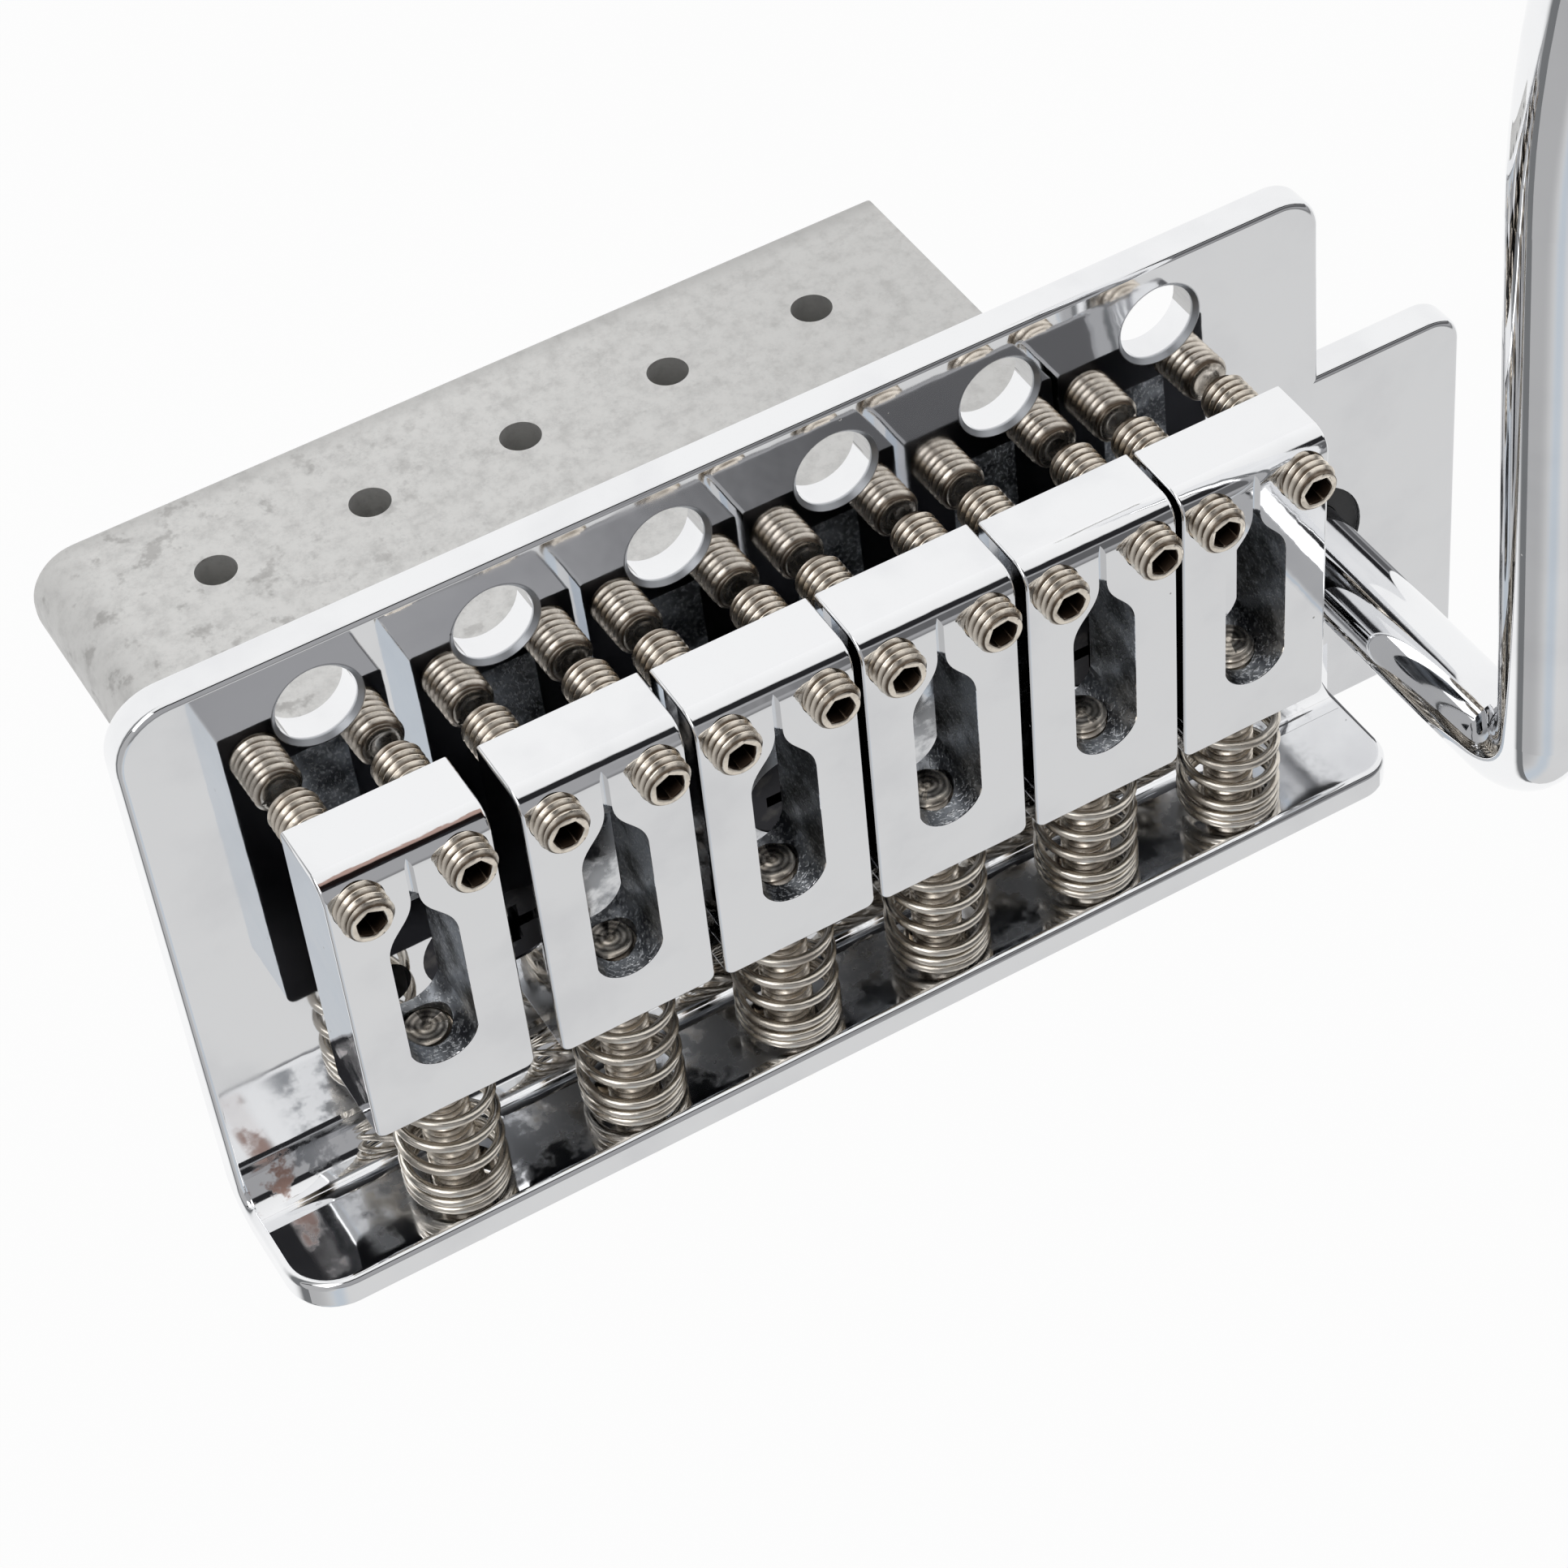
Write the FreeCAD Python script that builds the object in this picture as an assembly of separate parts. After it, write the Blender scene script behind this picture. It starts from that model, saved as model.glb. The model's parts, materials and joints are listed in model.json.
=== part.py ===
# Guitar tremolo bridge: a bent plate, a hanging block, six adjustable saddles and a swinging arm.
# Millimetres. +X points to the treble side, +Y to the neck and +Z up out of the guitar's top.
# The origin is the middle of the row of pivot screw holes, on the plate's top face.
import FreeCAD, Part
import math
import os

os.makedirs("parts", exist_ok=True)
Vector = FreeCAD.Vector

# Strings, from bass to treble
string_count = 6
string_pitch = 10.5

# Base plate and its upturned rear lip
plate_thickness = 2.2
pivot_to_left_edge = 37.55
pivot_to_right_edge = 37.1
pivot_to_front_edge = 4.5
pivot_to_lip = 34.1
lip_height = 8.6
bend_radius = 1.2
left_corner_radius = 3.6
right_corner_radius = 2.6
lip_left_radius = 3.2
lip_right_radius = 2.4
edge_round = 0.45
pivot_hole_diameter = 4.8
hole_bevel = 0.25

# Ear that carries the arm
ear_width = 10.1
ear_front = 9.2
ear_rear = 36.6
ear_corner_radius = 2.2
ear_slit = 0.6
ear_slit_front = 31.4

# Saddle
saddle_width = 9.8
saddle_length = 20.8
saddle_height = 4.95
saddle_front_round = 1.4
saddle_nose = 5.2
saddle_corner_radius = 0.6
saddle_edge_round = 0.2
slot_width = 4.1
slot_front = 7.4
slot_rear = 17.0
slot_rear_bow = 1.6
string_ramp_depth = 2.0
string_groove_width = 0.5
string_groove_length = 3.3
string_groove_depth = 0.22

# Saddle settings: how far each saddle is drawn back and pushed aside, and how far the row tilts
saddle_front_edge = 3.4
saddle_setback = (0.0, 0.3, 0.55, 0.6, 0.9, 1.05)
saddle_side_play = (-0.5, 0.5, 0.45, 0.2, 0.15, -0.15)
saddle_row_shift = 0.6
saddle_tilt = 1.75

# Threaded fasteners, drawn as plain cylinders at the thread's outside diameter
thread_diameter = 3.0
thread_clearance = 0.03
thread_chamfer = 0.3

# Height screws
height_screw_length = 9.9
height_screw_spacing = 6.1
height_screw_back = 2.1
foot_gap = 0.6
hex_across_flats = 1.5
hex_depth = 1.7
cup_diameter = 1.5
cup_depth = 0.5

# Intonation screws
intonation_screw_length = 16.2
intonation_axis_in_saddle = 2.2
lip_hole_height = 5.25
lip_hole_diameter = 4.2
head_diameter = 5.0
head_height = 1.8
head_round = 1.6
head_gap = 0.2
recess_width = 0.8
recess_span = 2.9
recess_depth = 1.1

# Intonation springs
spring_diameter = 6.3
spring_wire = 0.6
spring_end_gap = 0.15
spring_close_turns = 1.5
spring_close_pitch = 1.05
spring_open_turns = 3.5

# Block under the plate
block_left = 30.8
block_right = 29.6
block_front = 18.7
block_thickness = 7.35
block_depth = 38.6
block_bass_radius = 3.4
block_edge_round = 0.6
spring_hole_count = 5
spring_hole_diameter = 2.7
spring_hole_depth = 5.0
spring_hole_from_bottom = 7.7

# String holes through plate and block, with a wider seat below for the ball ends
string_hole_diameter = 3.2
string_hole_back = 22.4
ball_seat_diameter = 4.2
ball_seat_top = 14.0

# Screws that hold the block
block_screw_count = 3
block_screw_spacing = 21.0
block_screw_back = 22.4
block_screw_diameter = 3.0
block_screw_length = 12.0
block_screw_head_diameter = 5.6
countersink_depth = 0.1
block_screw_clearance = 0.02

# Arm, its liner and its socket
arm_diameter = 5.2
arm_x = 36.1
arm_back = 22.0
arm_rise = 23.5
arm_bend_radius = 4.2
arm_straight = 37.0
arm_inward_angle = 1.5
arm_sweep_radius = 60.0
arm_sweep_angle = 22.0
arm_handle = 84.0
arm_clearance = 0.04
arm_insert_depth = 11.0
liner_diameter = 7.9
liner_clearance = 0.02
liner_recess = 0.25
socket_diameter = 11.0
socket_depth = 12.0
socket_floor = 1.0
socket_flange_diameter = 12.4
socket_flange_thickness = 1.4

# Plastic tip on the arm's end
tip_length = 24.0
tip_neck_diameter = 7.0
tip_diameter = 8.6
tip_bore_depth = 14.0
tip_dome = 3.4
tip_clearance = 0.02

# Values worked out from the sizes above
plate_bottom = -plate_thickness
lip_rear = -pivot_to_lip - plate_thickness
lip_middle = -pivot_to_lip - plate_thickness / 2
block_bottom = plate_bottom - block_depth
thread_radius = thread_diameter / 2
tapped_radius = thread_radius + thread_clearance
tilt_radians = math.radians(saddle_tilt)
front_reach = (-saddle_front_edge - lip_middle) / math.cos(tilt_radians)
underside = -intonation_axis_in_saddle
string_x = [(n - (string_count - 1) / 2) * string_pitch for n in range(string_count)]

# Directions, how near two places or directions are to count as the same, and what counts as a sharp edge
across = Vector(1, 0, 0)
along = Vector(0, 1, 0)
up = Vector(0, 0, 1)
touch = 0.01
parallel_angle = 2.0
sharp_angle = 25.0
quarter_middle = math.sqrt(0.5)


# Shared shapes
def cylinder(diameter, length, start, direction):
    return Part.makeCylinder(diameter / 2, length, Vector(*start), Vector(*direction))


def polygon(points):
    corners = [Vector(*p) for p in points]
    return Part.makePolygon(corners + corners[:1])


def revolved(points, axis_point, axis):
    return Part.Face(polygon(points)).revolve(Vector(*axis_point), Vector(*axis), 360)


def edges_where(shape, test):
    return [e for e in shape.Edges if test(e)]


def runs_along(edge, direction):
    if not isinstance(edge.Curve, Part.Line):
        return False
    slant = abs(edge.tangentAt(edge.FirstParameter).dot(direction))
    return slant > math.cos(math.radians(parallel_angle))


def middle(edge):
    return edge.valueAt((edge.FirstParameter + edge.LastParameter) / 2)


def is_sharp(shape, edge):
    point = middle(edge)
    normals = [f.normalAt(*f.Surface.parameter(point)) for f in shape.ancestorsOfType(edge, Part.Face)]
    return len(normals) == 2 and normals[0].getAngle(normals[1]) > math.radians(sharp_angle)


def placed(shape, n):
    # Moves a piece from its string's own frame to the bridge: origin at the lip hole, y along the screw
    moved = shape.copy()
    turn = FreeCAD.Rotation(across, saddle_tilt)
    spot = Vector(string_x[n] + saddle_row_shift + saddle_side_play[n], lip_middle, lip_hole_height)
    moved.Placement = FreeCAD.Placement(spot, turn) * shape.Placement
    return moved


def save(shape, node):
    shape.exportStep("parts/" + node + ".step")


# Base plate: sheet bent up into the lip, with an ear on the treble side
def bent_sheet():
    left, right = -pivot_to_left_edge, pivot_to_right_edge
    inside = -pivot_to_lip + bend_radius
    outside_radius = bend_radius + plate_thickness
    inner_bow = bend_radius * quarter_middle
    outer_bow = outside_radius * quarter_middle
    front_bottom = Vector(left, pivot_to_front_edge, plate_bottom)
    front_top = Vector(left, pivot_to_front_edge, 0)
    bend_top = Vector(left, inside, 0)
    bend_top_mid = Vector(left, inside - inner_bow, bend_radius - inner_bow)
    lip_inner = Vector(left, -pivot_to_lip, bend_radius)
    lip_inner_top = Vector(left, -pivot_to_lip, lip_height)
    lip_outer_top = Vector(left, lip_rear, lip_height)
    lip_outer = Vector(left, lip_rear, bend_radius)
    bend_low_mid = Vector(left, inside - outer_bow, bend_radius - outer_bow)
    bend_low = Vector(left, inside, plate_bottom)
    outline = Part.Wire([
        Part.makeLine(front_bottom, front_top),
        Part.makeLine(front_top, bend_top),
        Part.Arc(bend_top, bend_top_mid, lip_inner).toShape(),
        Part.makeLine(lip_inner, lip_inner_top),
        Part.makeLine(lip_inner_top, lip_outer_top),
        Part.makeLine(lip_outer_top, lip_outer),
        Part.Arc(lip_outer, bend_low_mid, bend_low).toShape(),
        Part.makeLine(bend_low, front_bottom),
    ])
    sheet = Part.Face(outline).extrude(Vector(right - left, 0, 0))
    corners = (
        (left, up, pivot_to_front_edge, left_corner_radius),
        (right, up, pivot_to_front_edge, right_corner_radius),
        (left, along, lip_height, lip_left_radius),
        (right, along, lip_height, lip_right_radius),
    )
    for x, direction, level, radius in corners:
        def at_corner(e):
            m = middle(e)
            reach = m.y if direction == up else m.z
            return runs_along(e, direction) and abs(m.x - x) < touch and abs(reach - level) < touch
        sheet = sheet.makeFillet(radius, edges_where(sheet, at_corner))
    return sheet.makeFillet(edge_round, edges_where(sheet, lambda e: is_sharp(sheet, e)))


def ear():
    right = pivot_to_right_edge + ear_width
    root = pivot_to_right_edge - ear_width / 2
    slit = pivot_to_right_edge + ear_slit
    outline = polygon([
        (root, -ear_front, plate_bottom),
        (right, -ear_front, plate_bottom),
        (right, -ear_rear, plate_bottom),
        (slit, -ear_rear, plate_bottom),
        (slit, -ear_slit_front, plate_bottom),
        (root, -ear_slit_front, plate_bottom),
    ])
    blank = Part.Face(outline).extrude(Vector(0, 0, plate_thickness))
    corners = edges_where(blank, lambda e: runs_along(e, up) and abs(middle(e).x - right) < touch)
    blank = blank.makeFillet(ear_corner_radius, corners)

    def on_rim(e):
        m = middle(e)
        level = min(abs(m.z), abs(m.z - plate_bottom)) < touch
        return level and m.x > slit + touch
    return blank.makeFillet(edge_round, edges_where(blank, on_rim))


def base_plate():
    plate = bent_sheet().fuse(ear()).removeSplitter()
    down = (0, 0, -1)
    pivot_radius = pivot_hole_diameter / 2
    cuts = []
    for x in string_x:
        cuts.append(cylinder(pivot_hole_diameter, plate_thickness, (x, 0, 0), down))
        rim = Vector(x, 0, 0)
        cuts.append(Part.makeCone(pivot_radius + hole_bevel, pivot_radius, hole_bevel, rim, Vector(*down)))
        cuts.append(cylinder(string_hole_diameter, plate_thickness, (x, -string_hole_back, 0), down))
        lip_hole = (x + saddle_row_shift, -pivot_to_lip, lip_hole_height)
        cuts.append(cylinder(lip_hole_diameter, plate_thickness, lip_hole, (0, -1, 0)))
    for x in block_screw_x():
        cuts.append(block_screw_blank(x, block_screw_clearance))
    liner_hole = liner_diameter + 2 * liner_clearance
    cuts.append(cylinder(liner_hole, plate_thickness, (arm_x, -arm_back, 0), down))
    return plate.cut(cuts)


# Block under the plate: string channels, holes for the tension springs, one rounded end
def tremolo_block():
    width = block_left + block_right
    rear = -block_front - block_thickness
    block = Part.makeBox(width, block_thickness, block_depth, Vector(-block_left, rear, block_bottom))
    bass_corners = edges_where(block, lambda e: runs_along(e, up) and abs(middle(e).x + block_left) < touch)
    block = block.makeFillet(block_bass_radius, bass_corners)
    bottom_edges = edges_where(block, lambda e: abs(middle(e).z - block_bottom) < touch)
    block = block.makeFillet(block_edge_round, bottom_edges)
    cuts = []
    spring_z = block_bottom + spring_hole_from_bottom
    for n in range(spring_hole_count):
        x = (n - (spring_hole_count - 1) / 2) * string_pitch
        cuts.append(cylinder(spring_hole_diameter, spring_hole_depth, (x, -block_front, spring_z), -along))
    seat_depth = block_depth - ball_seat_top
    for x in string_x:
        top, bottom = (x, -string_hole_back, plate_bottom), (x, -string_hole_back, block_bottom)
        cuts.append(cylinder(string_hole_diameter, block_depth, top, -up))
        cuts.append(cylinder(ball_seat_diameter, seat_depth, bottom, up))
    for x in block_screw_x():
        cuts.append(block_screw_blank(x, block_screw_clearance))
    return block.cut(cuts)


# Countersunk screws that hold the block to the plate
def block_screw_x():
    return [(n - (block_screw_count - 1) / 2) * block_screw_spacing for n in range(block_screw_count)]


def block_screw_blank(x, clearance):
    head = block_screw_head_diameter / 2 + clearance
    shank = block_screw_diameter / 2 + clearance
    top = 0 if clearance else -countersink_depth
    cone_top = -countersink_depth
    cone_end = cone_top - (head - shank)
    end = -block_screw_length - clearance
    y = -block_screw_back
    points = [(x, y, end), (x + shank, y, end), (x + shank, y, cone_end), (x + head, y, cone_top)]
    if clearance:
        points.append((x + head, y, top))
    points.append((x, y, top))
    return revolved(points, (x, y, 0), (0, 0, 1))


def block_screws():
    screws = []
    for x in block_screw_x():
        screw = block_screw_blank(x, 0)
        centre = Vector(x, -block_screw_back, -countersink_depth)
        screws.append(screw.cut(cross_recess(centre, up)))
    return Part.makeCompound(screws)


def cross_recess(centre, outward):
    # Two crossed slots sunk into a screw head whose face points outward
    corner = Vector(-recess_span / 2, -recess_width / 2, -recess_depth)
    facing = FreeCAD.Placement(centre, FreeCAD.Rotation(up, outward))
    slots = []
    for turn in (0, 90):
        slot = Part.makeBox(recess_span, recess_width, recess_depth, corner)
        slot.rotate(Vector(0, 0, 0), up, turn)
        slot.Placement = facing * slot.Placement
        slots.append(slot)
    return slots


# Saddle: a cast block with a rounded front edge, a string slot right through it and three tapped holes
def slot_outline(z):
    half = slot_width / 2
    neck = string_groove_width / 2
    shoulder = Vector(half, -slot_front, z)
    neck_end = Vector(neck, -string_groove_length, z)
    halfway = (neck_end + shoulder) / 2
    flare = Part.BSplineCurve()
    flare.interpolate([neck_end, halfway, shoulder], InitialTangent=-along, FinalTangent=-along)
    end_side = Vector(half, -slot_rear + slot_rear_bow, z)
    end_middle = Vector(0, -slot_rear, z)
    right = [flare.toShape(), Part.makeLine(shoulder, end_side)]
    left = [e.mirror(Vector(0, 0, 0), across) for e in right]
    end = Part.Arc(end_side, end_middle, Vector(-half, end_side.y, z)).toShape()
    mouth = Part.makeLine(Vector(-neck, -string_groove_length, z), neck_end)
    return Part.Wire(Part.__sortEdges__(right + [end] + left + [mouth]))


def string_groove():
    # V groove from the slot's mouth to the front, where it runs out in the rounded edge
    bottom = saddle_height - string_groove_depth
    brim = saddle_height + string_groove_depth
    section = polygon([
        (0, -slot_front, bottom),
        (string_groove_width, -slot_front, brim),
        (-string_groove_width, -slot_front, brim),
    ])
    return Part.Face(section).extrude(along * slot_front)


def string_ramp():
    # Metal left under the slot's front end, which leads the string from the pocket up to the groove
    side, lip = -saddle_width / 2, saddle_height - string_groove_depth
    section = polygon([
        (side, 0, 0),
        (side, 0, lip),
        (side, -string_groove_length, lip),
        (side, -saddle_nose, saddle_height - string_ramp_depth),
        (side, -saddle_nose, 0),
    ])
    return Part.Face(section).extrude(across * saddle_width)


def saddle_shape():
    rear_corner = Vector(-saddle_width / 2, -saddle_length, 0)
    body = Part.makeBox(saddle_width, saddle_length, saddle_height, rear_corner)

    def at_front_top(e):
        return runs_along(e, across) and middle(e).y > -touch and middle(e).z > touch
    body = body.makeFillet(saddle_front_round, edges_where(body, at_front_top))

    def at_rear_corner(e):
        return runs_along(e, up) and abs(middle(e).y + saddle_length) < touch
    body = body.makeFillet(saddle_corner_radius, edges_where(body, at_rear_corner))
    rim = edges_where(body, lambda e: is_sharp(body, e) and middle(e).z > touch)
    body = body.makeFillet(saddle_edge_round, rim)
    slot = Part.Face(slot_outline(0)).extrude(up * saddle_height).cut(string_ramp())
    tapped_diameter = 2 * tapped_radius
    rear_hole_start = (0, -saddle_length, intonation_axis_in_saddle)
    rear_hole_length = saddle_length - slot_rear + slot_rear_bow
    rear_hole = cylinder(tapped_diameter, rear_hole_length, rear_hole_start, along)
    cuts = [slot, string_groove(), rear_hole]
    for x in height_screw_x():
        cuts.append(cylinder(tapped_diameter, saddle_height, (x, -height_screw_back, 0), up))
    return body.cut(cuts)


def saddle(n):
    shape = saddle_shape()
    shape.translate(Vector(0, front_reach - saddle_setback[n], underside))
    return placed(shape, n)


# Height screws: two socket grub screws in each saddle's nose
def height_screw_x():
    return (-height_screw_spacing / 2, height_screw_spacing / 2)


def grub_screw():
    # Stands on its cup point at the origin
    r, length, c = thread_radius, height_screw_length, thread_chamfer
    cup = cup_diameter / 2
    points = [
        (0, 0, cup_depth), (cup, 0, 0), (r - c, 0, 0), (r, 0, c), (r, 0, length - c),
        (r - c, 0, length), (0, 0, length),
    ]
    screw = revolved(points, (0, 0, 0), (0, 0, 1))
    corner = hex_across_flats / math.sqrt(3)
    turns = [math.radians(a) for a in range(0, 360, 60)]
    hexagon = polygon([(corner * math.cos(a), corner * math.sin(a), length) for a in turns])
    return screw.cut(Part.Face(hexagon).extrude(-up * hex_depth))


def height_screw_spot(n):
    # Distance of the screws from the lip hole along the intonation screw, and the height of their feet
    distance = front_reach - saddle_setback[n] - height_screw_back
    foot = (foot_gap - lip_hole_height - distance * math.sin(tilt_radians)) / math.cos(tilt_radians)
    return distance, foot


def height_screws(n):
    distance, foot = height_screw_spot(n)
    screws = []
    for x in height_screw_x():
        screw = grub_screw()
        screw.translate(Vector(x, distance, foot))
        screws.append(placed(screw, n))
    return Part.makeCompound(screws)


# Intonation screw: passes through the lip and is tapped into the saddle's rear wall
def intonation_screw(n):
    r, c = thread_radius, thread_chamfer
    seat = -plate_thickness / 2 - head_gap
    tip = seat + intonation_screw_length
    head = cylinder(head_diameter, head_height, (0, seat, 0), -along)
    face = seat - head_height
    rim = edges_where(head, lambda e: isinstance(e.Curve, Part.Circle) and abs(middle(e).y - face) < touch)
    head = head.makeFillet(head_round, rim)
    profile = [(0, seat, 0), (r, seat, 0), (r, tip - c, 0), (r - c, tip, 0), (0, tip, 0)]
    screw = head.fuse(revolved(profile, (0, 0, 0), along))
    return placed(screw.cut(cross_recess(Vector(0, face, 0), -along)), n)


# Intonation spring: one wire wound round the screw between lip and saddle, closer at the lip end
def biarc(p0, t0, p1, t1):
    # Two tangent arcs from p0 along t0 to p1 along t1
    chord = p1 - p0
    tangents = t0 + t1
    a = tangents.dot(tangents) - 4
    b = -2 * chord.dot(tangents)
    d = (-b - math.sqrt(b * b - 4 * a * chord.dot(chord))) / (2 * a)
    q0, q1 = p0 + t0 * d, p1 - t1 * d
    joint = (q0 + q1) / 2
    return [tangent_arc(p0, q0, joint), tangent_arc(joint, q1, p1)]


def tangent_arc(start, corner, end):
    half_chord = (end - start).Length / 2
    base = (start + end) / 2
    rise = (corner - base).Length
    sag = half_chord * math.tan(math.atan2(rise, half_chord) / 2)
    return Part.Arc(start, base + (corner - base) * (sag / rise), end).toShape()


def spring_ends(n):
    lip_lean = spring_diameter / 2 * math.tan(tilt_radians)
    start = plate_thickness / 2 + lip_lean + spring_end_gap + spring_wire / 2
    end = front_reach - saddle_setback[n] - saddle_length - spring_end_gap - spring_wire / 2
    return start, end


def spring_point(n, turn):
    start, end = spring_ends(n)
    radius = (spring_diameter - spring_wire) / 2
    close_length = spring_close_turns * spring_close_pitch
    open_pitch = (end - start - close_length) / spring_open_turns
    distance = start + spring_close_pitch * min(turn, spring_close_turns)
    pitch = spring_close_pitch
    if turn > spring_close_turns:
        distance += open_pitch * (turn - spring_close_turns)
        pitch = open_pitch
    angle = 2 * math.pi * turn
    point = Vector(radius * math.cos(angle), distance, radius * math.sin(angle))
    around = 2 * math.pi * radius
    tangent = Vector(-around * math.sin(angle), pitch, around * math.cos(angle))
    return point, tangent.normalize()


def intonation_spring(n):
    steps = round((spring_close_turns + spring_open_turns) * 2)
    stations = [spring_point(n, k / 2) for k in range(steps + 1)]
    arcs = []
    for (p0, t0), (p1, t1) in zip(stations, stations[1:]):
        arcs += biarc(p0, t0, p1, t1)
    path = Part.Wire(arcs)
    first, heading = stations[0]
    section = Part.Wire(Part.makeCircle(spring_wire / 2, first, heading))
    tube = Part.BRepOffsetAPI.MakePipeShell(path)
    tube.add(section)
    tube.build()
    tube.makeSolid()
    report_spring_gap(n)
    return placed(tube.shape(), n)


def report_spring_gap(n):
    # Least gap of the wire to itself, measured on points a whole turn or so apart
    per_turn = 24
    count = round((spring_close_turns + spring_open_turns) * per_turn)
    points = [spring_point(n, k / per_turn)[0] for k in range(count + 1)]
    least = min(
        (points[i] - points[j]).Length for i in range(count) for j in range(i + per_turn // 2, count + 1))
    print("spring", n + 1, "least gap to itself", round(least - spring_wire, 3), "mm")


# Arm: a bent rod that turns in a lined socket on the ear
def arm_path():
    foot = Vector(arm_x, -arm_back, plate_bottom - arm_insert_depth)
    bend = arm_bend_radius
    bend_start = Vector(arm_x, -arm_back, arm_rise - bend)
    heading = FreeCAD.Rotation(up, arm_inward_angle).multVec(along)
    corner = Vector(arm_x, -arm_back, arm_rise)
    bend_end = corner + heading * bend
    straight_end = bend_end + heading * arm_straight
    handle_heading = FreeCAD.Rotation(up, -arm_sweep_angle).multVec(heading)
    reach = arm_sweep_radius * math.tan(math.radians(arm_sweep_angle / 2))
    sweep_corner = straight_end + heading * reach
    sweep_end = sweep_corner + handle_heading * reach
    handle_end = sweep_end + handle_heading * arm_handle
    edges = [
        Part.makeLine(foot, bend_start),
        tangent_arc(bend_start, corner, bend_end),
        Part.makeLine(bend_end, straight_end),
        tangent_arc(straight_end, sweep_corner, sweep_end),
        Part.makeLine(sweep_end, handle_end),
    ]
    return edges, handle_end, handle_heading


def tremolo_arm():
    edges = arm_path()[0]
    start = edges[0].Vertexes[0].Point
    section = Part.Wire(Part.makeCircle(arm_diameter / 2, start, up))
    rod = Part.BRepOffsetAPI.MakePipeShell(Part.Wire(edges))
    rod.add(section)
    rod.build()
    rod.makeSolid()
    return rod.shape()


def arm_tip():
    end, heading = arm_path()[1:]
    neck, full, bore = tip_neck_diameter / 2, tip_diameter / 2, arm_diameter / 2 + tip_clearance
    back = -tip_bore_depth
    front = tip_length + back
    dome_start = front - tip_dome
    top = Vector(0, 0, front)
    side = Vector(full, 0, dome_start)
    round_middle = Vector(full * quarter_middle, 0, dome_start + tip_dome * quarter_middle)
    outline = [
        Part.makeLine(Vector(0, 0, 0), top),
        Part.Arc(top, round_middle, side).toShape(),
        Part.makeLine(side, Vector(neck, 0, back)),
        Part.makeLine(Vector(neck, 0, back), Vector(bore, 0, back)),
        Part.makeLine(Vector(bore, 0, back), Vector(bore, 0, 0)),
        Part.makeLine(Vector(bore, 0, 0), Vector(0, 0, 0)),
    ]
    tip = Part.Face(Part.Wire(outline)).revolve(Vector(0, 0, 0), up, 360)
    tip.Placement = FreeCAD.Placement(end, FreeCAD.Rotation(up, heading))
    return tip


def arm_liner():
    bore = arm_diameter + 2 * arm_clearance
    length = plate_thickness - liner_recess
    spot = (arm_x, -arm_back, plate_bottom)
    ring = cylinder(liner_diameter, length, spot, (0, 0, 1))
    return ring.cut(cylinder(bore, length, spot, (0, 0, 1)))


def arm_socket():
    spot = (arm_x, -arm_back, plate_bottom)
    down = (0, 0, -1)
    depth = socket_depth + socket_floor
    body = cylinder(socket_diameter, depth, spot, down)
    flange = cylinder(socket_flange_diameter, socket_flange_thickness, spot, down)
    bore = cylinder(arm_diameter + 2 * arm_clearance, socket_depth, spot, down)
    return body.fuse(flange).removeSplitter().cut(bore)


save(base_plate(), "base_plate")
save(tremolo_block(), "tremolo_block")
save(block_screws(), "block_screws")
for n in range(string_count):
    number = str(n + 1)
    save(saddle(n), "saddle_" + number)
    save(height_screws(n), "height_screws_" + number)
    save(intonation_screw(n), "intonation_screw_" + number)
    save(intonation_spring(n), "intonation_spring_" + number)
save(tremolo_arm(), "tremolo_arm")
save(arm_tip(), "arm_tip")
save(arm_liner(), "arm_liner")
save(arm_socket(), "arm_socket")
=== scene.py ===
import json
import math

import bmesh
import bpy
from mathutils import Matrix, Vector


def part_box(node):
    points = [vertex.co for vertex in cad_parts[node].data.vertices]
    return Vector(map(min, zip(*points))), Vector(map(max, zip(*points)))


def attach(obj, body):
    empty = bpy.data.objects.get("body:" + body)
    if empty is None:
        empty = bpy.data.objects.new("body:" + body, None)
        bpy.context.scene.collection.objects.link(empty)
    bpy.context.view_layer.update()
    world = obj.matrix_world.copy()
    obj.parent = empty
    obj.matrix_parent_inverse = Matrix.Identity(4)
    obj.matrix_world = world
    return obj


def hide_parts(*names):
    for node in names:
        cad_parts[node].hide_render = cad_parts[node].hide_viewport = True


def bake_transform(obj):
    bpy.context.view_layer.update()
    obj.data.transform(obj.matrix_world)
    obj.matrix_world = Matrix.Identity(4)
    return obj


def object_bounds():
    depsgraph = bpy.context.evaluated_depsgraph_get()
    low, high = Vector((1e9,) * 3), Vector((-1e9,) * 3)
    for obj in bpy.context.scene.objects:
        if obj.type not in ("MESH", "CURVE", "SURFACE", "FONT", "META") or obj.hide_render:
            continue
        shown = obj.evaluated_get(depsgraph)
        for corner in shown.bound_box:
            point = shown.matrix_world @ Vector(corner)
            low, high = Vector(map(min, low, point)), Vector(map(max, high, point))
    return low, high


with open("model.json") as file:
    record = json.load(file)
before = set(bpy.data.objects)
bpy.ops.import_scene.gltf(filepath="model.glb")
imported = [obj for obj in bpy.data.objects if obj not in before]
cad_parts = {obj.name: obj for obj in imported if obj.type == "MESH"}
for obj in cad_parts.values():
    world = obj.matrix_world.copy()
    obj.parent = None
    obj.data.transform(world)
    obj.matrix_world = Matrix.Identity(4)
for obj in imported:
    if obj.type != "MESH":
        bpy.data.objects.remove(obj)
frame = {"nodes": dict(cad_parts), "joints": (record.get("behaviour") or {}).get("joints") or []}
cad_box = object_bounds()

nodes = frame["nodes"]
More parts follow.
